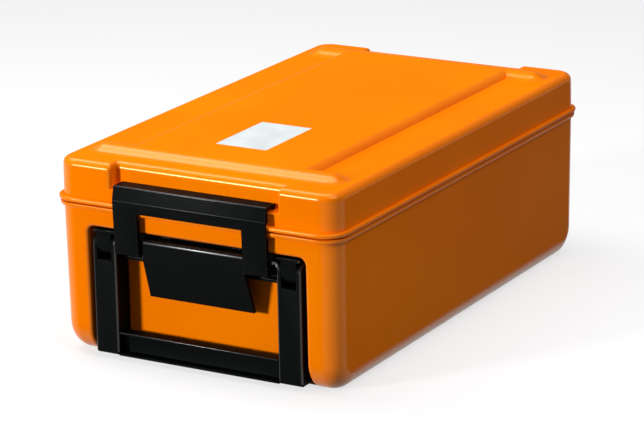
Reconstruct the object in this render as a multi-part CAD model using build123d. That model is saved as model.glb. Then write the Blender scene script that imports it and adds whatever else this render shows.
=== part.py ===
from build123d import *
import os
from math import radians, tan

# An insulated hard case with a lift-off lid. At each end it carries a moulded bracket,
# a fold-down carrying handle and a draw latch whose hasp hooks over the lid.
# Millimetres. +Z is up, the long axis lies along Y, and the origin is on the ground
# under the middle of the case. The fittings are modelled for the +Y end and turned
# half round the vertical for the -Y end.

os.makedirs("parts", exist_ok=True)

# --- Body -----------------------------------------------------------------------
case_length = 612.0        # over the end walls, at the rim
case_width = 362.0         # over the long walls, at the rim
rim_z = 180.7              # top of the body's rim
draft = 0.5                # degrees, so that the mouldings leave their moulds
corner_radius = 23.5       # upright corners, and where the long walls turn under
heel_radius = 36.0         # where the end walls turn under
wall = 3.0                 # thickness of the moulded skins
foam_gap = 0.2             # between the foam and the skins
lip_height = 5.0           # outward lip round the body's rim
lip_overhang = 3.0
lip_round = 2.2

# --- Pocket in each end wall, which takes the fittings ----------------------------
pocket_side_gap = 6.0      # beside the handle
pocket_depth = 29.0
pocket_drop = 25.2         # from the rim to the pocket's top
pocket_corner = 9.0
pocket_mouth_round = 4.0

# --- Inner tub ----------------------------------------------------------------------
tub_end_margin = 39.0      # from the end wall to the tub, walls and foam together
tub_side_margin = 14.0     # and from the long wall
tub_floor_z = 30.0
tub_corner = 20.0
tub_floor_round = 10.0

# --- Lid ------------------------------------------------------------------------------
parting_gap = 2.2          # between the rims, filled by the seal
lid_height = 47.6          # from the lid's edge to its flat top
lid_edge_round = 8.5
flange_height = 4.5
flange_overhang = 4.5      # past the long walls
end_overhang = 2.0         # further past the end walls, for both rims
flange_round = 2.0
raise_height = 7.5         # raised panel and stacking ribs above the lid
panel_margin = 62.8        # from the long wall to the panel's foot
panel_lean = 25.0          # degrees from upright
panel_shoulder = 11.0      # radius along the panel's upper edge
panel_root = 0.8           # radius in the hollow at its foot
rib_margin = 19.0          # from the long wall to a rib's foot
rib_setback = 56.2         # from the end wall to a rib's middle
rib_width = 33.0           # at its foot
rib_lean = 53.0            # degrees from upright
rib_nose = 16.0            # radius of a rib's ends, at the foot
rib_shoulder = 17.0
rib_root = 17.0
stack_clearance = 1.5      # round the raised shape, in the base that stands on it
stack_headroom = 0.5       # and above it
notch_side_gap = 9.5       # beside the hasp
latch_notch_depth = 14.0
notch_mouth_round = 4.0
ledge_rise = 21.1          # from the lid's edge to what the hasp hooks over
ledge_slope = 12.0         # degrees, falling outward
plug_depth = 11.0          # lid plug below the liner's brim
plug_clearance = 2.0
brim = 4.0
seal_width = 5.0
seal_height = 3.5
seal_inset = 4.0           # from the tub's mouth to the seal
label_length = 104.0
label_width = 66.0
label_thickness = 0.8
label_corner = 1.5
label_setback = 157.5      # from the front end wall to the label's middle
label_seat_depth = 0.9     # so that a load on the panel doesn't bear on the label
label_gap = 0.3
fill_plug_radius = 9.0     # closes the hole that the foam was poured through
fill_plug_fit = 0.1

# --- Bracket ---------------------------------------------------------------------------
bracket_side_gap = 2.5     # to the handle's legs, which lie beside it
shelf_side_gap = 1.5       # from the shelf's ends to the handle's outer sides
bracket_wing_gap = 1.5     # from the hasp's side to the shelf's wings
bracket_top_gap = 3.2      # under the pocket's top
bracket_height = 35.0
bracket_depth = 13.0
bracket_skin = 3.2
bracket_rib = 2.6
bracket_rib_pitch = 60.0
tongue_width = 18.0
tongue_gap = 0.5           # beside the tongue, in the handle's slot
lug_width = 12.0
lug_place = 46.0
lug_nose = 4.8
lug_gap = 0.5              # all round the lug, in the lever's slot
screw_pitch = 60.0         # four screws a bracket
screw_rise = 18.7          # above the bracket's bottom
screw_radius = 2.4
screw_head_radius = 4.3
screw_head_height = 3.6
screw_socket_across = 3.0
screw_socket_depth = 2.0
screw_fit = 0.1
insert_radius = 3.5
insert_length = 6.4
insert_fit = 0.05
boss_wall = 2.6

# --- Handle ------------------------------------------------------------------------------
handle_side_gap = 6.0      # between the hasp and the legs
handle_leg_width = 30.5
handle_depth = 27.0
handle_pivot_drop = 17.3   # below the bracket's top
handle_bottom_z = 5.7
handle_back_gap = 0.6      # to the pocket's back wall
handle_skin = 2.8
slot_below_pivot = 17.7
bar_height = 28.5
bar_depth = 15.0
handle_round = 2.0
bar_round = 1.0
handle_pin_radius = 3.0
pin_end_gap = 1.0          # from a pin's end to the face it comes out of
pin_fit = 0.05             # radial running clearance of every pin

# --- Lever -------------------------------------------------------------------------------
lever_width = 131.0        # at its top
lever_pivot_in = 6.0       # from the end wall's plane in to the pivot
lever_pivot_drop = 35.7    # from the rim down to the pivot
lever_barrel = 5.0
lever_top_out = 3.0        # from the end wall's plane to the flap's upright face
lever_tip_in = 13.6        # and in to the tip of its leaning face
lever_knee_drop = 18.0     # from the pivot down to where the face starts to lean in
lever_reach = 66.6         # and down to the tip
lever_flare = 2.5          # by which each side stands out further at the tip
lever_skin = 3.0
lever_cheek = 4.0
lever_depth = 5.0
lever_top_round = 4.5
lever_knee_round = 8.0
lever_round = 1.2
lever_pin_radius = 2.5

# --- Hasp --------------------------------------------------------------------------------
hasp_width = 197.0
window_side_gap = 2.5      # between the lever and the legs
window_rise = 36.0         # from the lever's pivot to the window's top
hasp_crank = 9.0           # hasp pin below the lever's pivot
hasp_crown = 5.8           # hasp's top above the ledge that it hooks over
hasp_top_out = 7.0         # from the end wall's plane to the hasp's top edge
hasp_brow_out = 11.0       # to its brow, where the sloping face meets the upright one
hasp_foot_out = 8.6        # and to the foot of the legs
hasp_brow_drop = 16.3      # from the top to the brow
hasp_leg_depth = 5.4
hasp_boss = 5.4
hasp_plate = 3.0
hasp_flange_gap = 0.7      # from the lid's flange to the back of the hasp
hasp_round = 1.5
nose_width = 3.5
nose_gap = 1.0             # to the notch's back wall
hasp_pin_radius = 2.0
hasp_pin_bury = 2.5        # hasp left closed over the pin's ends

# --- Places worked out from the sizes above -------------------------------------------
end_y = case_length / 2
tub_length = case_length - 2 * tub_end_margin
tub_width = case_width - 2 * tub_side_margin
handle_width = hasp_width + 2 * (handle_side_gap + handle_leg_width)
pocket_y = end_y - pocket_depth
pocket_half = handle_width / 2 + pocket_side_gap
pocket_top_z = rim_z - pocket_drop
lid_base_z = rim_z + parting_gap
lid_top_z = lid_base_z + lid_height
panel_top_z = lid_top_z + raise_height
rib_y = end_y - rib_setback
label_y = label_setback - end_y
notch_y = end_y - latch_notch_depth
notch_half = hasp_width / 2 + notch_side_gap
ledge_z = lid_base_z + ledge_rise
bracket_top_z = pocket_top_z - bracket_top_gap
bracket_bottom_z = bracket_top_z - bracket_height
bracket_front_y = pocket_y + bracket_depth
screw_z = bracket_bottom_z + screw_rise
handle_back_y = pocket_y + handle_back_gap
handle_pivot_y = handle_back_y + handle_depth / 2
handle_front_y = handle_back_y + handle_depth
handle_pivot_z = bracket_top_z - handle_pivot_drop
leg_x = handle_width / 2 - handle_leg_width / 2
lever_pivot_y = end_y - lever_pivot_in
lever_pivot_z = rim_z - lever_pivot_drop
lever_top_y = end_y + lever_top_out
lever_tip_y = end_y - lever_tip_in
lever_knee_z = lever_pivot_z - lever_knee_drop
lever_tip_z = lever_pivot_z - lever_reach
hasp_pivot_z = lever_pivot_z - hasp_crank
hasp_top_y = end_y + hasp_top_out
hasp_top_z = ledge_z + hasp_crown
hasp_brow_y = end_y + hasp_brow_out
hasp_brow_z = hasp_top_z - hasp_brow_drop
hasp_foot_y = end_y + hasp_foot_out
window_top_z = lever_pivot_z + window_rise
window_half = lever_width / 2 + window_side_gap
screw_places = [screw_pitch * (place - 1.5) for place in range(4)]


def rounded_plate(width, length, radius, bottom, height):
    """A level plate with rounded upright corners."""
    return extrude(Pos(0, 0, bottom) * RectangleRounded(width, length, radius), height)


def along_x(profile, start, end):
    """A side view, drawn as (y, z), carried across from x = start to x = end."""
    return extrude(Plane.YZ.offset(start) * profile, end - start)


def along_y(profile, start, end):
    """A front view, drawn as (x, z), carried from y = start out to y = end."""
    view = Plane(origin=(0, start, 0), x_dir=(1, 0, 0), z_dir=(0, -1, 0))
    return extrude(view * profile, start - end)


def outline(*points):
    """A flat face inside straight lines through the points."""
    return make_face(Polyline(*points, close=True))


def rod_x(radius, y, z, start, end):
    """A round rod or hole along X."""
    return along_x(Pos(y, z) * Circle(radius), start, end)


def box_between(x0, x1, y0, y1, z0, z1):
    """A block between two opposite corners."""
    centre = ((x0 + x1) / 2, (y0 + y1) / 2, (z0 + z1) / 2)
    return Pos(*centre) * Box(x1 - x0, y1 - y0, z1 - z0)


def both_ends(solid):
    """The +Y solid together with its copy at the -Y end."""
    return solid + solid.rotate(Axis.Z, 180)


def both_sides(solid):
    """The solid together with its mirror image across the case."""
    return solid + mirror(solid, Plane.YZ)


# --- Body forms ---------------------------------------------------------------------------
def panel_form(grow, shell, bottom, height):
    """The raised panel on a plate that its feet run out into, its faces moved in by shell."""
    foot = case_width / 2 - panel_margin + grow
    crown = foot - height * tan(radians(panel_lean))
    base = foot + panel_root + shell
    low = bottom - wall
    top = bottom + height
    side = outline((-base, low), (base, low), (base, bottom), (foot, bottom), (crown, top),
                   (-crown, top), (-foot, bottom), (-base, bottom))
    side = fillet(side.vertices().group_by(Axis.Y)[-1], panel_shoulder - shell)
    feet = [corner for corner in side.vertices()
            if abs(corner.Y - bottom) < 0.01 and abs(corner.X) < base - 0.01]
    return along_y(fillet(feet, panel_root + shell), -rib_y, rib_y)


def rib_form(grow, bottom, height):
    """One stacking rib, leaning in on all sides, on a plate that its foot runs out into."""
    length = case_width - 2 * rib_margin + 2 * grow
    width = rib_width + 2 * grow
    foot = Pos(0, 0, bottom) * RectangleRounded(length, width, rib_nose + grow)
    rib = extrude(foot, height, taper=rib_lean)
    rib = fillet(rib.edges().group_by(Axis.Z)[-1], rib_shoulder)
    reach = 1 + rib_root * tan(radians(45 - rib_lean / 2))
    rib += rounded_plate(length + 2 * reach, width + 2 * reach, rib_nose + grow + reach,
                         bottom - wall, wall)
    feet = [edge for edge in rib.edges() if abs(edge.center().Z - bottom) < 0.01
            and abs((edge @ 0).X) < length / 2 + 0.01
            and abs((edge @ 0).Y) < width / 2 + 0.01]
    return Pos(0, rib_y, 0) * fillet(feet, rib_root)


def raised_form(grow, bottom, height):
    """The raised panel and the two stacking ribs of the lid, standing on bottom."""
    return panel_form(grow, 0, bottom, height) + both_ends(rib_form(grow, bottom, height))


def pocket(inset):
    """The room for one end's fittings; inset grows it to make the skin's inner side."""
    half = pocket_half + inset
    top = pocket_top_z + inset
    height = top + case_width
    view = Pos(0, top - height / 2) * RectangleRounded(2 * half, height,
                                                       pocket_corner + inset)
    return along_y(view, pocket_y - inset, end_y + pocket_depth)


def rim_plate(overhang, bottom, height):
    """A plate as wide as the rims of the body and the lid."""
    return rounded_plate(case_width + 2 * overhang,
                         case_length + 2 * (overhang + end_overhang),
                         corner_radius + overhang, bottom, height)


def body_form(inset, top):
    """The body's solid shape, shrunk by inset and cut off level at top."""
    shrink = 2 * inset + 2 * (rim_z - top) * tan(radians(draft))
    start = Plane(origin=(0, 0, top), x_dir=(1, 0, 0), z_dir=(0, 0, -1))
    block = extrude(start * Rectangle(case_width - shrink, case_length - shrink),
                    top - inset, taper=draft)
    heels = block.edges().group_by(Axis.Z)[0].filter_by(Axis.X)
    block = fillet(heels, heel_radius - inset)
    sides = [block.faces().sort_by(Axis.X)[place] for place in (0, -1)]
    chain = [edge for side in sides for edge in side.edges() if edge.center().Z < top - 1]
    block = fillet(chain, corner_radius - inset)
    block -= both_ends(pocket(inset))
    return block - raised_form(stack_clearance + inset, inset, raise_height + stack_headroom)


def tub_form(grow):
    """The inside of the tub, grown by grow and open at the rim."""
    depth = rim_z - tub_floor_z + grow
    start = Plane(origin=(0, 0, rim_z), x_dir=(1, 0, 0), z_dir=(0, 0, -1))
    mouth = RectangleRounded(tub_width + 2 * grow, tub_length + 2 * grow, tub_corner + grow)
    block = extrude(start * mouth, depth, taper=2 * draft)
    return fillet(block.edges().group_by(Axis.Z)[0], tub_floor_round + grow)


def screw_rods(radius, inner_y, outer_y):
    """Rods on the lines of one bracket's screws, from inner_y out to outer_y."""
    rods = Part()
    for x in screw_places:
        rods += Pos(x, outer_y, screw_z) * Rot(90, 0, 0) * Cylinder(
            radius, outer_y - inner_y, align=(Align.CENTER, Align.CENTER, Align.MIN))
    return rods


def fill_hole(radius, low, high):
    """The upright hole that the foam is poured through."""
    return Pos(0, 0, (low + high) / 2) * Cylinder(radius, high - low)


def make_body():
    """The outer skin, the tub, the foam between them and the plug of the pour hole."""
    skin = body_form(0, rim_z)
    mouth = [edge for edge in skin.edges()
             if abs(edge.center().Y) > end_y - 2 and edge.center().Z > heel_radius
             and abs(edge.center().X) < pocket_half + 1
             and edge.center().Z < pocket_top_z + 1]
    skin = fillet(mouth, pocket_mouth_round)
    lip = rim_plate(lip_overhang, rim_z - lip_height, lip_height)
    lip = fillet(lip.edges().group_by(Axis.Z)[0], lip_round)
    lip = fillet(lip.edges().group_by(Axis.Z)[-1], lip_round / 2)
    skin += lip
    skin -= body_form(wall, rim_z)
    inner_y = pocket_y - insert_length
    skin += both_ends(screw_rods(insert_radius + boss_wall, inner_y, pocket_y))
    skin -= both_ends(screw_rods(insert_radius + insert_fit, inner_y - 1, pocket_y + 1))
    floor_z = raise_height + stack_headroom
    skin -= fill_hole(fill_plug_radius + fill_plug_fit, floor_z - 1, floor_z + 2 * wall)

    tub = tub_form(wall)
    tub += rounded_plate(case_width - 2 * (wall + foam_gap), case_length - 2 * (wall + foam_gap),
                         corner_radius - wall - foam_gap, rim_z - wall, wall)
    tub -= tub_form(0)

    foam = body_form(wall + foam_gap, rim_z - wall - foam_gap)
    foam -= tub_form(wall + foam_gap)
    foam -= both_ends(screw_rods(insert_radius + boss_wall + foam_gap,
                                 inner_y - foam_gap, pocket_y))
    plug = fill_hole(fill_plug_radius, floor_z, floor_z + wall)
    return skin, tub, foam, plug


# --- Lid forms ------------------------------------------------------------------------------
def latch_notch(inset):
    """The notch that takes one hasp: back wall, rounded brow and sloping ledge."""
    back = notch_y - inset
    reach = latch_notch_depth + inset + 4 * flange_overhang
    fall = reach * tan(radians(ledge_slope))
    floor_z = ledge_z - inset
    top = lid_top_z - inset
    brow = lid_edge_round
    line = Polyline((back, top - brow), (back, floor_z), (back + reach, floor_z - fall),
                    (back + reach, top + brow), (back - brow, top + brow), (back - brow, top))
    curve = RadiusArc((back - brow, top), (back, top - brow), brow)
    half = notch_half + inset
    return along_x(make_face([line, curve]), -half, half)


def lid_form(inset, bottom):
    """The lid's solid shape above bottom, shrunk by inset, without its raised panel."""
    rise = 2 * (bottom - lid_base_z) * tan(radians(draft))
    block = extrude(Pos(0, 0, bottom) * Rectangle(case_width - 2 * inset - rise,
                                                  case_length - 2 * inset - rise),
                    lid_top_z - inset - bottom, taper=draft)
    uprights = [edge for edge in block.edges() if abs(edge.tangent_at(0.5).Z) > 0.9]
    block = fillet(uprights, corner_radius - inset)
    block = fillet(block.edges().group_by(Axis.Z)[-1], lid_edge_round - inset / 2)
    return block - both_ends(latch_notch(inset))


def panel_hollow(inset):
    """The room under the raised panel, shrunk by inset."""
    shift = inset * tan(radians(45 - panel_lean / 2))
    return panel_form(-shift, inset, lid_top_z - inset, raise_height)


def brim_plate(inset, bottom, height):
    """A plate that fits inside the lid's skin."""
    return rounded_plate(case_width - 2 * inset, case_length - 2 * inset,
                         corner_radius - inset, bottom, height)


def plug_block(shrink, bottom, height):
    """The block that drops into the tub's mouth."""
    side = plug_clearance + shrink
    return rounded_plate(tub_width - 2 * side, tub_length - 2 * side, tub_corner - side,
                         bottom, height)


def seal_ring(height):
    """The flat ring of the seal, standing on the rim."""
    outer = seal_inset + seal_width
    ring = rounded_plate(tub_width + 2 * outer, tub_length + 2 * outer, tub_corner + outer,
                         rim_z, height)
    return ring - rounded_plate(tub_width + 2 * seal_inset, tub_length + 2 * seal_inset,
                                tub_corner + seal_inset, rim_z, height)


def make_lid():
    """The lid's outer skin, liner, foam, seal, label and the plug of its pour hole."""
    flange = rim_plate(flange_overhang, lid_base_z, flange_height)
    flange = fillet(flange.edges().group_by(Axis.Z)[-1], flange_round)
    flange = fillet(flange.edges().group_by(Axis.Z)[0], lip_round / 2)
    skin = lid_form(0, lid_base_z) + flange
    mouth = [edge for edge in skin.edges() if abs(abs(edge.center().X) - notch_half) < 0.01
             and edge.center().Z > ledge_z and abs(edge.center().Y) > end_y - lid_edge_round]
    skin = fillet(mouth, notch_mouth_round)
    skin += raised_form(0, lid_top_z, raise_height)
    skin -= lid_form(wall, lid_base_z) + panel_hollow(wall)
    seat = rounded_plate(label_width + 2 * label_gap, label_length + 2 * label_gap,
                         label_corner + label_gap, panel_top_z - label_seat_depth,
                         raise_height)
    skin -= Pos(0, label_y, 0) * seat

    liner_z = lid_base_z
    inside = wall + foam_gap
    liner = brim_plate(inside, liner_z, brim) + plug_block(0, liner_z - plug_depth, plug_depth)
    liner -= plug_block(wall, liner_z - plug_depth + wall, plug_depth + brim)
    liner -= seal_ring(seal_height)
    liner -= fill_hole(fill_plug_radius + fill_plug_fit, liner_z - plug_depth, liner_z)

    core = lid_form(inside, liner_z + brim + foam_gap) + panel_hollow(inside)
    core += plug_block(wall + foam_gap, liner_z - plug_depth + wall + foam_gap,
                       plug_depth + brim)
    plug = fill_hole(fill_plug_radius, liner_z - plug_depth, liner_z - plug_depth + wall)
    label = rounded_plate(label_width, label_length, label_corner,
                          panel_top_z - label_seat_depth, label_thickness)
    label = Pos(0, label_y, 0) * label
    return skin, liner, core, seal_ring(seal_height), label, plug


# --- Fittings, at the +Y end ---------------------------------------------------------------
def make_bracket():
    """The moulded cross-bar: back plate, shelves, ribs, lever lugs and handle tongues."""
    half = handle_width / 2 - handle_leg_width - bracket_side_gap
    top = bracket_top_z
    shelf_z = top - bracket_skin
    solid = box_between(-half, half, pocket_y, pocket_y + bracket_skin, bracket_bottom_z, top)
    solid += box_between(-half, half, pocket_y, bracket_front_y, bracket_bottom_z,
                         bracket_bottom_z + bracket_skin)
    wing = handle_width / 2 - shelf_side_gap
    shelf = box_between(-wing, wing, pocket_y, handle_front_y, shelf_z, top)
    recess = hasp_width / 2 + bracket_wing_gap
    shelf -= box_between(-recess, recess, bracket_front_y, handle_front_y + 1, 0, top + 1)
    corners = [edge for edge in shelf.edges().filter_by(Axis.Z)
               if edge.center().Y > bracket_front_y + 1]
    solid += fillet(corners, handle_round)
    reach = half - bracket_rib / 2
    for x in (-reach, -bracket_rib_pitch, 0, bracket_rib_pitch, reach):
        solid += box_between(x - bracket_rib / 2, x + bracket_rib / 2, pocket_y,
                             bracket_front_y, bracket_bottom_z, top)

    nose = Pos(lever_pivot_y, lever_pivot_z) * Circle(lug_nose)
    under = lever_pivot_z - lug_nose
    arm = outline((pocket_y, under), (lever_pivot_y, under),
                  (lever_pivot_y, lever_pivot_z + lug_nose), (pocket_y, shelf_z))
    solid += both_sides(along_x(nose + arm, lug_place - lug_width / 2,
                                lug_place + lug_width / 2))
    hub = Pos(handle_pivot_y, handle_pivot_z) * Circle(handle_depth / 2)
    web = outline((pocket_y, handle_pivot_z - handle_depth / 2),
                  (handle_pivot_y, handle_pivot_z - handle_depth / 2),
                  (handle_pivot_y, handle_pivot_z), (handle_front_y, handle_pivot_z),
                  (handle_front_y, top - handle_round), (handle_front_y - handle_round, top),
                  (pocket_y, top))
    solid += both_sides(along_x(hub + web, leg_x - tongue_width / 2, leg_x + tongue_width / 2))
    solid -= rod_x(lever_pin_radius, lever_pivot_y, lever_pivot_z, -half, half)
    solid -= rod_x(handle_pin_radius, handle_pivot_y, handle_pivot_z, -wing, wing)
    return solid - screw_rods(screw_radius + screw_fit, pocket_y - 1,
                              pocket_y + bracket_skin + 1)


def make_screws():
    """Four pan-head screws with six-sided sockets, and the threaded inserts they enter."""
    seat = pocket_y + bracket_skin
    inner_y = pocket_y - insert_length
    heads = screw_rods(screw_head_radius, seat, seat + screw_head_height)
    heads = fillet(heads.edges().group_by(Axis.Y)[-1], screw_head_height / 3)
    screws = heads + screw_rods(screw_radius, inner_y, seat)
    for x in screw_places:
        face = Plane(origin=(x, seat + screw_head_height, screw_z), z_dir=(0, -1, 0))
        screws -= extrude(face * RegularPolygon(screw_socket_across / 2, 6, major_radius=False),
                          screw_socket_depth)
    inserts = screw_rods(insert_radius, inner_y, pocket_y)
    inserts -= screw_rods(screw_radius + screw_fit, inner_y - 1, pocket_y + 1)
    return screws, inserts


def make_handle():
    """The fold-down handle: two slotted legs and a channel-shaped grip bar."""
    inner = leg_x - handle_leg_width / 2
    outer = handle_width / 2
    reach = handle_depth / 2
    side = outline((handle_back_y, handle_bottom_z), (handle_front_y, handle_bottom_z),
                   (handle_front_y, handle_pivot_z), (handle_back_y, handle_pivot_z))
    side += Pos(handle_pivot_y, handle_pivot_z) * Circle(reach)
    leg = along_x(side, inner, outer)
    feet = [edge for edge in leg.edges().filter_by(Axis.X)
            if edge.center().Z < handle_bottom_z + 1]
    leg = fillet(feet, 2 * handle_round)
    rims = [edge for edge in leg.edges() if edge.center().Y > handle_pivot_y + 1
            and abs(edge.tangent_at(0.5).X) < 0.1]
    leg = fillet(rims, handle_round)
    slot_z = handle_pivot_z - slot_below_pivot
    leg -= box_between(leg_x - tongue_width / 2 - tongue_gap,
                       leg_x + tongue_width / 2 + tongue_gap,
                       handle_back_y - 1, handle_front_y + 1, slot_z,
                       handle_pivot_z + handle_depth)
    leg -= box_between(inner + handle_skin, outer - handle_skin, handle_back_y - 1,
                       handle_front_y - handle_skin, handle_bottom_z + handle_skin,
                       slot_z - handle_skin)
    leg -= rod_x(handle_pin_radius + pin_fit, handle_pivot_y, handle_pivot_z, inner, outer)

    low = handle_bottom_z
    high = handle_bottom_z + bar_height
    bar_y = handle_front_y - bar_depth
    bar = box_between(-inner, inner, bar_y, handle_front_y, low, high)
    bar -= box_between(-inner, inner, bar_y + handle_skin, handle_front_y + 1,
                       low + handle_skin, high - handle_skin)
    edges = bar.edges().filter_by(Axis.X).group_by(Axis.Z)
    bar = fillet(edges[0] + edges[-1], bar_round)
    return both_sides(leg) + bar


def make_lever():
    """The lever: a bent flap, hollow behind, under a barrel that is slotted for the lugs."""
    top = lever_pivot_z + lever_barrel
    back_y = lever_pivot_y - lever_barrel
    under = hasp_pivot_z - lever_barrel
    side = outline((back_y, top), (lever_top_y, top), (lever_top_y, lever_knee_z),
                   (lever_tip_y, lever_tip_z), (lever_tip_y - lever_depth, lever_tip_z),
                   (lever_top_y - lever_depth, lever_knee_z), (lever_top_y - lever_depth, under),
                   (back_y, under))
    half = lever_width / 2
    wide = half + lever_flare
    front = outline((-half, top), (half, top), (wide, lever_tip_z), (-wide, lever_tip_z))
    solid = along_x(side, -wide, wide) & along_y(front, pocket_y, lever_top_y + lever_depth)
    for y, z, radius in ((lever_top_y, top, lever_top_round), (back_y, top, lever_barrel),
                         (lever_top_y, lever_knee_z, lever_knee_round)):
        corner = solid.edges().filter_by(Axis.X).sort_by_distance((0, y, z))[0]
        solid = fillet(corner, radius)
    leaning = solid.faces().sort_by_distance((0, (lever_top_y + lever_tip_y) / 2,
                                              (lever_knee_z + lever_tip_z) / 2))[0]
    rims = [edge for edge in leaning.edges() if edge.center().Z < lever_knee_z - lever_knee_round]
    solid = fillet(rims, lever_round)

    slot_z = lever_pivot_z - lug_nose - lug_gap
    hollow = outline((lever_tip_y - lever_skin, lever_tip_z),
                     (lever_top_y - lever_skin, lever_knee_z), (lever_top_y - lever_skin, slot_z),
                     (pocket_y, slot_z), (pocket_y, lever_tip_z))
    solid -= along_x(hollow, lever_cheek - half, half - lever_cheek)
    slot_y = lever_pivot_y + lug_nose + lug_gap
    solid -= both_sides(box_between(lug_place - lug_width / 2 - lug_gap,
                                    lug_place + lug_width / 2 + lug_gap,
                                    pocket_y, slot_y, slot_z, top + 1))
    solid -= rod_x(lever_pin_radius + pin_fit, lever_pivot_y, lever_pivot_z, -wide, wide)
    return solid - rod_x(hasp_pin_radius, lever_pivot_y, hasp_pivot_z, -wide, wide)


def make_hasp():
    """The hasp: two legs on the lever's cranked pin, a top bar and a hook over the lid."""
    back_y = end_y + end_overhang + flange_overhang + hasp_flange_gap
    leg_back_y = hasp_foot_y - hasp_leg_depth
    relief_z = rim_z - lip_height - hasp_flange_gap
    shoulder_z = lid_base_z + flange_height + 2 * hasp_plate
    nose_y = notch_y + nose_gap
    head = outline((nose_y, ledge_z), (nose_y, hasp_top_z), (hasp_top_y, hasp_top_z),
                   (hasp_brow_y, hasp_brow_z), (hasp_foot_y, hasp_pivot_z),
                   (hasp_foot_y, hasp_pivot_z - hasp_boss), (lever_pivot_y, hasp_pivot_z - hasp_boss),
                   (lever_pivot_y, hasp_pivot_z + hasp_boss), (leg_back_y, hasp_pivot_z + hasp_boss),
                   (leg_back_y, relief_z - hasp_plate), (back_y, relief_z),
                   (back_y, shoulder_z - hasp_plate),
                   (hasp_top_y - hasp_plate, shoulder_z),
                   (hasp_top_y - hasp_plate, hasp_top_z - hasp_plate),
                   (nose_y + nose_width, hasp_top_z - hasp_plate), (nose_y + nose_width, ledge_z))
    boss = Pos(lever_pivot_y, hasp_pivot_z) * Circle(hasp_boss)
    half = hasp_width / 2
    solid = along_x(head + boss, -half, half)
    solid -= box_between(-window_half, window_half, pocket_y, end_y + hasp_width, 0,
                         window_top_z)
    corners = [(hasp_top_y, hasp_top_z), (nose_y, hasp_top_z), (hasp_brow_y, hasp_brow_z),
               (hasp_foot_y, hasp_pivot_z - hasp_boss)]
    for y, z in corners:
        edges = [edge for edge in solid.edges().filter_by(Axis.X)
                 if abs(edge.center().Y - y) < 0.1 and abs(edge.center().Z - z) < 0.1]
        solid = fillet(edges, hasp_round)
    hole = rod_x(hasp_pin_radius + pin_fit, lever_pivot_y, hasp_pivot_z,
                 -half + hasp_pin_bury - pin_end_gap / 2, half - hasp_pin_bury + pin_end_gap / 2)
    return solid - hole


def make_pins():
    """The lever's pin, the hasp's pin and the pair of handle pins."""
    half = lever_width / 2 - pin_end_gap
    lever_pin = rod_x(lever_pin_radius, lever_pivot_y, lever_pivot_z, -half, half)
    half = hasp_width / 2 - hasp_pin_bury
    hasp_pin = rod_x(hasp_pin_radius, lever_pivot_y, hasp_pivot_z, -half, half)
    pin = rod_x(handle_pin_radius, handle_pivot_y, handle_pivot_z,
                leg_x - handle_leg_width / 2 + pin_end_gap, handle_width / 2 - pin_end_gap)
    return lever_pin, hasp_pin, both_sides(pin)


# --- Write the pieces -------------------------------------------------------------------------
body_pieces = dict(zip(("body_outer_shell", "body_inner_tub", "body_foam_core",
                        "body_fill_plug"), make_body()))
lid_pieces = dict(zip(("lid_outer_shell", "lid_inner_shell", "lid_foam_core", "lid_seal",
                       "lid_label", "lid_fill_plug"), make_lid()))
screws, inserts = make_screws()
lever_pin, hasp_pin, handle_pins = make_pins()
fittings = {"bracket": make_bracket(), "bracket_screws": screws, "bracket_inserts": inserts,
            "handle": make_handle(), "handle_pins": handle_pins,
            "lever": make_lever(), "lever_pin": lever_pin,
            "hasp": make_hasp(), "hasp_pin": hasp_pin}

for name, piece in (body_pieces | lid_pieces).items():
    export_step(piece, f"parts/{name}.step")
for name, piece in fittings.items():
    export_step(piece, f"parts/rear_{name}.step")
    export_step(piece.rotate(Axis.Z, 180), f"parts/front_{name}.step")
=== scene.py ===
from math import radians

import bpy
from mathutils import Matrix, Vector


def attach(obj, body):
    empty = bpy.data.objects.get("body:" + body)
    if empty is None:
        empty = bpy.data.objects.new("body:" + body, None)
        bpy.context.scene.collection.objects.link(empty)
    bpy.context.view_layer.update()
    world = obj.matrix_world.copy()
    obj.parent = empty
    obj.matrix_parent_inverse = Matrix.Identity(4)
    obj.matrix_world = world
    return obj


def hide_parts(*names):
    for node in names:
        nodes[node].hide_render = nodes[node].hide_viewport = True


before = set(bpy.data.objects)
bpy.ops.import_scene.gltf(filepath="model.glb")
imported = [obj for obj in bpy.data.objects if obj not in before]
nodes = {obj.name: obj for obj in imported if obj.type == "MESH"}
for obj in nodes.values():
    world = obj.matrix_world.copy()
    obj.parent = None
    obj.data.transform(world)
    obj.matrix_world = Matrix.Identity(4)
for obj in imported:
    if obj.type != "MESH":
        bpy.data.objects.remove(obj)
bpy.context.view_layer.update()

# --- Orange double skins ----------------------------------------------------------------
# The body, its tub, the lid and the lid's liner are moulded in orange high-density
# polyethylene. A fine spark-eroded mould leaves a satin skin with a slight long-wave
# unevenness. Handling leaves faint duller rubs on the faces and polishes the edges.


def linear(hex_colour):
    """The linear value of an sRGB colour written in hex, with alpha."""
    channels = [int(hex_colour[place:place + 2], 16) / 255 for place in (1, 3, 5)]
    return [c / 12.92 if c <= 0.04045 else ((c + 0.055) / 1.055) ** 2.4
            for c in channels] + [1.0]


def add_node(material, kind, settings, links):
    """Adds one node: settings are its properties or sockets, links feed its inputs."""
    tree = material.node_tree
    added = tree.nodes.new(kind)
    for name, value in settings.items():
        if name in added.inputs.keys():
            added.inputs[name].default_value = value
        else:
            setattr(added, name, value)
    for socket, source in links.items():
        tree.links.new(source, added.inputs[socket])
    return added


def new_material(name, **settings):
    """A node material with plain values on its shader, and its Object coordinates."""
    material = bpy.data.materials.new(name)
    material.use_nodes = True
    shader = material.node_tree.nodes["Principled BSDF"]
    for setting, value in settings.items():
        shader.inputs[setting.replace("_", " ")].default_value = value
    place = add_node(material, "ShaderNodeTexCoord", {}, {}).outputs["Object"]
    return material, shader, place


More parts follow.
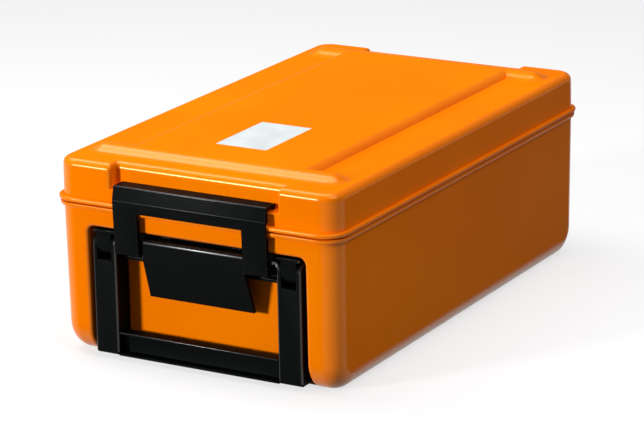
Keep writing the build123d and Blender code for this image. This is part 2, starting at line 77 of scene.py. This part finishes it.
def noise(material, place, size, detail=2.0):
    """Noise whose largest features are about size metres across."""
    return add_node(material, "ShaderNodeTexNoise", {"Scale": 1 / size, "Detail": detail},
                    {"Vector": place}).outputs["Fac"]


def ramp(material, source, *stops):
    """A colour ramp through (position, hex colour) stops."""
    made = add_node(material, "ShaderNodeValToRGB", {}, {"Fac": source})
    elements = made.color_ramp.elements
    while len(elements) < len(stops):
        elements.new(0.5)
    for element, (position, colour) in zip(elements, stops):
        element.position = position
        element.color = linear(colour)
    return made.outputs["Color"]


def level(material, source, low, high):
    """Carries a pattern from 0 to 1 over to the range from low to high."""
    return add_node(material, "ShaderNodeMapRange", {"To Min": low, "To Max": high},
                    {"Value": source}).outputs["Result"]


def relief(material, shader, *layers):
    """Bumps the surface by layers of (pattern, height in metres, strength)."""
    normal = {}
    for pattern, height, strength in layers:
        bump = add_node(material, "ShaderNodeBump", {"Strength": strength, "Distance": height},
                        {"Height": pattern} | normal)
        normal = {"Normal": bump.outputs["Normal"]}
    material.node_tree.links.new(normal["Normal"], shader.inputs["Normal"])


def dress(material, *names):
    """Gives CAD nodes a material in place of their packed one."""
    for name in names:
        nodes[name].data.materials.clear()
        nodes[name].data.materials.append(material)


square_on = 0.997   # largest part of the normal up to 4 degrees off a face of the case
turned_away = 0.965  # and from 15 degrees off


def rounding(material):
    """0 on faces square to the case, and 1 where a surface turns round an edge."""
    facing = add_node(material, "ShaderNodeTexCoord", {}, {}).outputs["Normal"]
    size = add_node(material, "ShaderNodeVectorMath", {"operation": "ABSOLUTE"}, {0: facing})
    parts = add_node(material, "ShaderNodeSeparateXYZ", {}, {0: size.outputs["Vector"]}).outputs
    most = parts["X"]
    for part in ("Y", "Z"):
        most = add_node(material, "ShaderNodeMath", {"operation": "MAXIMUM"},
                        {0: most, 1: parts[part]}).outputs["Value"]
    return add_node(material, "ShaderNodeMapRange",
                    {"From Min": square_on, "From Max": turned_away},
                    {"Value": most}).outputs["Result"]


warm_shine = (1.0, 0.85, 0.4, 1.0)
flow_size = 0.16      # broad shift of colour where the melt ran
rub_size = 0.035
spark_grain = 0.0011  # coarser than the real 0.2 mm grain, so that it shows
swell_size = 0.06     # long-wave unevenness of a moulded wall
polyethylene, shader, place = new_material("hdpe_spark_eroded_orange", IOR=1.53,
                                           Specular_Tint=warm_shine)
flow = noise(polyethylene, place, flow_size, 1.0)
polyethylene.node_tree.links.new(
    ramp(polyethylene, flow, (0.36, "#FA7C00"), (0.64, "#FD8200")), shader.inputs["Base Color"])
edges = rounding(polyethylene)
polyethylene.node_tree.links.new(level(polyethylene, edges, 0.01, 0.4),
                                 shader.inputs["Specular IOR Level"])
rubs = level(polyethylene, noise(polyethylene, place, rub_size, 4.0), 0.26, 0.36)
polish = level(polyethylene, edges, 0.0, 0.08)
polyethylene.node_tree.links.new(
    add_node(polyethylene, "ShaderNodeMath", {"operation": "SUBTRACT"},
             {0: rubs, 1: polish}).outputs["Value"], shader.inputs["Roughness"])
relief(polyethylene, shader,
       (noise(polyethylene, place, spark_grain), 0.0002, 0.14),
       (noise(polyethylene, place, swell_size, 0.0), 0.002, 0.2))
dress(polyethylene, "body_outer_shell", "body_inner_tub", "lid_outer_shell", "lid_inner_shell")

# --- Foam and the plugs of its pour holes ----------------------------------------------------
# Closed-cell polyurethane foam fills both double walls. It is poured through one hole in
# each, which a black nylon plug then closes.
cell_size = 0.0009
foam, shader, place = new_material("polyurethane_foam_cream", IOR=1.45, Roughness=0.85)
cells = add_node(foam, "ShaderNodeTexVoronoi", {"Scale": 1 / cell_size}, {"Vector": place})
foam.node_tree.links.new(ramp(foam, cells.outputs["Distance"], (0.1, "#F1E6BD"),
                              (0.9, "#CDBB86")), shader.inputs["Base Color"])
relief(foam, shader, (cells.outputs["Distance"], 0.0004, 0.7))
dress(foam, "body_foam_core", "lid_foam_core")

# --- Fittings ---------------------------------------------------------------------------------
# Brackets, handles, levers, hasps and handle pins are injection moulded in black
# glass-filled nylon. The mould's fine texture kills the shine of the faces, and the glass
# fibre shows as a faint fleck. Along the edges handling has burnished the skin.
fibre_fleck = 0.0007   # a little coarser than chopped fibre, so that it shows
patch_size = 0.02
sink_size = 0.03       # shallow sinking of moulded walls
edge_radius = 0.0007
edge_strip = 0.0010    # a face narrower than this is taken as part of an edge
lowest_worn = -0.02    # an edge that faces further down than this isn't handled
weld = 1e-6
flat_angle = radians(0.5)
sharp_angle = radians(40)
smooth_angle = radians(50)


def moulded_nylon(name, specular, smooth, rough):
    """Black nylon with a given shine and range of roughness."""
    material, shader, place = new_material(name, IOR=1.53, Specular_IOR_Level=specular)
    fibre = noise(material, place, fibre_fleck, 3.0)
    material.node_tree.links.new(ramp(material, fibre, (0.45, "#040606"), (0.72, "#0A0D0D")),
                                 shader.inputs["Base Color"])
    patches = noise(material, place, patch_size, 3.0)
    material.node_tree.links.new(level(material, patches, smooth, rough),
                                 shader.inputs["Roughness"])
    relief(material, shader, (fibre, 0.0002, 0.18),
           (noise(material, place, sink_size, 0.0), 0.001, 0.15))
    return material


nylon = moulded_nylon("glass_filled_nylon_black", 0.03, 0.44, 0.56)
burnished = moulded_nylon("glass_filled_nylon_burnished", 0.5, 0.24, 0.34)
dress(nylon, "body_fill_plug", "lid_fill_plug", "front_handle_pins", "rear_handle_pins")


def soften(name, body):
    """Puts a copy with small, burnished radii along its edges in a node's place."""
    bpy.ops.object.select_all(action="DESELECT")
    source = nodes[name]
    source.select_set(True)
    bpy.context.view_layer.objects.active = source
    bpy.ops.object.duplicate()
    piece = bpy.context.object
    piece.name = f"{name}_moulded"
    bpy.ops.object.mode_set(mode="EDIT")
    bpy.ops.mesh.select_all(action="SELECT")
    bpy.ops.mesh.remove_doubles(threshold=weld)
    bpy.ops.mesh.dissolve_limited(angle_limit=flat_angle)
    bpy.ops.object.mode_set(mode="OBJECT")
    bevel = piece.modifiers.new("edge_radius", "BEVEL")
    bevel.width = edge_radius
    bevel.segments = 2
    bevel.limit_method = "ANGLE"
    bevel.angle_limit = sharp_angle
    bpy.ops.object.modifier_apply(modifier=bevel.name)
    bpy.ops.object.shade_smooth_by_angle(angle=smooth_angle)
    mesh = piece.data
    mesh.materials.clear()
    mesh.materials.append(nylon)
    mesh.materials.append(burnished)
    for face in mesh.polygons:
        corners = [mesh.vertices[corner].co for corner in face.vertices]
        sides = [(here - last).length for here, last in zip(corners, corners[-1:] + corners)]
        narrow = 2 * face.area / sum(sides) < edge_strip
        face.material_index = int(narrow and face.normal.z > lowest_worn)
    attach(piece, body)
    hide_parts(name)


for end in ("front", "rear"):
    soften(f"{end}_bracket", "body")
    soften(f"{end}_handle", f"{end}_handle")
    soften(f"{end}_lever", f"{end}_lever")
    soften(f"{end}_hasp", f"{end}_hasp")

# --- Pins, screws and inserts -----------------------------------------------------------------
# Pins and socket screws are turned stainless steel, with fine rings left by the tool. The
# inserts that the screws enter are brass.
ring_pitch = 0.0004
along_pins = (1.0, 0.02, 0.02)  # rings run round the pins, which lie along X
knurl_pitch = 0.0035
steel, shader, place = new_material("stainless_steel_turned", Metallic=1.0)
turned = add_node(steel, "ShaderNodeMapping", {"Scale": along_pins}, {"Vector": place})
rings = noise(steel, turned.outputs["Vector"], ring_pitch, 1.0)
steel.node_tree.links.new(ramp(steel, rings, (0.3, "#8E9194"), (0.7, "#B9BCBE")),
                          shader.inputs["Base Color"])
steel.node_tree.links.new(level(steel, rings, 0.24, 0.38), shader.inputs["Roughness"])
relief(steel, shader, (rings, 0.00005, 0.3))
brass, shader, place = new_material("brass_knurled", Metallic=1.0)
knurl = add_node(brass, "ShaderNodeTexWave",
                 {"Scale": 1 / knurl_pitch, "Distortion": 0.4, "bands_direction": "DIAGONAL"},
                 {"Vector": place})
brass.node_tree.links.new(ramp(brass, knurl.outputs["Fac"], (0.2, "#8C6B2E"),
                               (0.8, "#C9A45A")), shader.inputs["Base Color"])
brass.node_tree.links.new(level(brass, knurl.outputs["Fac"], 0.3, 0.45),
                          shader.inputs["Roughness"])
relief(brass, shader, (knurl.outputs["Fac"], 0.0003, 0.8))
for end in ("front", "rear"):
    dress(steel, f"{end}_bracket_screws", f"{end}_lever_pin", f"{end}_hasp_pin")
    dress(brass, f"{end}_bracket_inserts")

# --- Seal -------------------------------------------------------------------------------------
# A flat ring of black sponge rubber lies in the lid's liner and closes on the body's rim.
# Its cut skin shows fine open pores.
pore_size = 0.0006
sponge, shader, place = new_material("sponge_rubber_black", IOR=1.5, Specular_IOR_Level=0.2,
                                     Roughness=0.8)
pores = add_node(sponge, "ShaderNodeTexVoronoi", {"Scale": 1 / pore_size}, {"Vector": place})
sponge.node_tree.links.new(ramp(sponge, pores.outputs["Distance"], (0.2, "#090909"),
                                (0.8, "#1C1C1C")), shader.inputs["Base Color"])
relief(sponge, shader, (pores.outputs["Distance"], 0.0002, 0.6))
dress(sponge, "lid_seal")

# --- Label ------------------------------------------------------------------------------------
# A bare white plate of satin film on rigid sheet, let into the lid's panel. The film has a
# faint orange-peel skin and picks up a little grey with handling.
smudge_size = 0.03
orange_peel = 0.0016
film, shader, place = new_material("label_film_white", IOR=1.48, Specular_IOR_Level=0.25)
smudge = noise(film, place, smudge_size, 3.0)
film.node_tree.links.new(ramp(film, smudge, (0.35, "#D1D8D9"), (0.65, "#DBE2E2")),
                         shader.inputs["Base Color"])
film.node_tree.links.new(level(film, smudge, 0.32, 0.5), shader.inputs["Roughness"])
relief(film, shader, (noise(film, place, orange_peel, 0.0), 0.0001, 0.2))
dress(film, "lid_label")

# --- Studio -----------------------------------------------------------------------------------
# A plain white floor stands in a dim white room. The key lamp is low, in front and to the
# left. Three large soft lamps hang above: on the left, over the middle and on the right.
floor_size = 24
floor_bounce = "#585858"  # what the floor gives back to the case
floor_glow = 0.7          # share of the floor's white that no shadow reaches
room_light = 0.1
camera_place = (1.7188, -3.0234, 1.1551)
camera_turn, camera_tilt, camera_roll = 29.78, 73.01, -1.04  # degrees
camera_lens, film_width = 170.6, 36.0                        # millimetres
bpy.ops.object.select_all(action="DESELECT")
bpy.ops.mesh.primitive_plane_add(size=floor_size, location=(0, 0, 0))
floor = bpy.context.object
floor.name = "studio_floor"
paper, shader, place = new_material("studio_paper_white", Roughness=0.95,
                                    Specular_IOR_Level=0.1)
shader.inputs["Base Color"].default_value = linear(floor_bounce)
seen = add_node(paper, "ShaderNodeLightPath", {}, {})
white = add_node(paper, "ShaderNodeBsdfDiffuse", {"Color": linear("#FFFFFF")}, {})
glow = add_node(paper, "ShaderNodeEmission", {"Strength": 1.0}, {})
lit = add_node(paper, "ShaderNodeMixShader", {"Fac": floor_glow}, {})
paper.node_tree.links.new(white.outputs["BSDF"], lit.inputs[1])
paper.node_tree.links.new(glow.outputs["Emission"], lit.inputs[2])
shown = seen.outputs["Is Camera Ray"]
for ray in ("Is Glossy Ray", "Is Transmission Ray"):
    shown = add_node(paper, "ShaderNodeMath", {"operation": "MAXIMUM"},
                     {0: shown, 1: seen.outputs[ray]}).outputs["Value"]
chosen = add_node(paper, "ShaderNodeMixShader", {}, {"Fac": shown})
paper.node_tree.links.new(shader.outputs["BSDF"], chosen.inputs[1])
paper.node_tree.links.new(lit.outputs["Shader"], chosen.inputs[2])
paper.node_tree.links.new(chosen.outputs["Shader"],
                          paper.node_tree.nodes["Material Output"].inputs["Surface"])
floor.data.materials.append(paper)

world = bpy.data.worlds.new("dim_white_room")
bpy.context.scene.world = world
world.use_nodes = True
room = world.node_tree
room.nodes["Background"].inputs["Color"].default_value = (1, 1, 1, 1)
room.nodes["Background"].inputs["Strength"].default_value = room_light

for name, at, aim, size, power in (
        ("key_lamp", (-2.18, -4.03, 1.07), (0, -0.2, 0.12), 0.6, 180),
        ("top_lamp", (-0.95, 0.0, 1.6), (0, 0, 0.2), 1.0, 15),
        ("high_lamp", (0.0, 0.0, 2.4), (0, 0, 0.2), 1.2, 24),
        ("right_lamp", (1.5, -0.6, 1.9), (0, 0, 0.12), 1.2, 18)):
    bpy.ops.object.light_add(type="AREA", location=at)
    lamp = bpy.context.object
    lamp.name = name
    lamp.data.size = size
    lamp.data.energy = power
    lamp.rotation_euler = (Vector(aim) - Vector(at)).to_track_quat("-Z", "Y").to_euler()

bpy.ops.object.camera_add()
camera = bpy.context.object
camera.data.sensor_width = film_width
camera.data.lens = camera_lens
turn = Matrix.Rotation(radians(camera_turn), 4, "Z")
tilt = Matrix.Rotation(radians(camera_tilt), 4, "X")
roll = Matrix.Rotation(radians(camera_roll), 4, "Z")
camera.matrix_world = Matrix.Translation(camera_place) @ turn @ tilt @ roll
bpy.context.scene.camera = camera
bpy.context.scene.view_settings.view_transform = "Standard"
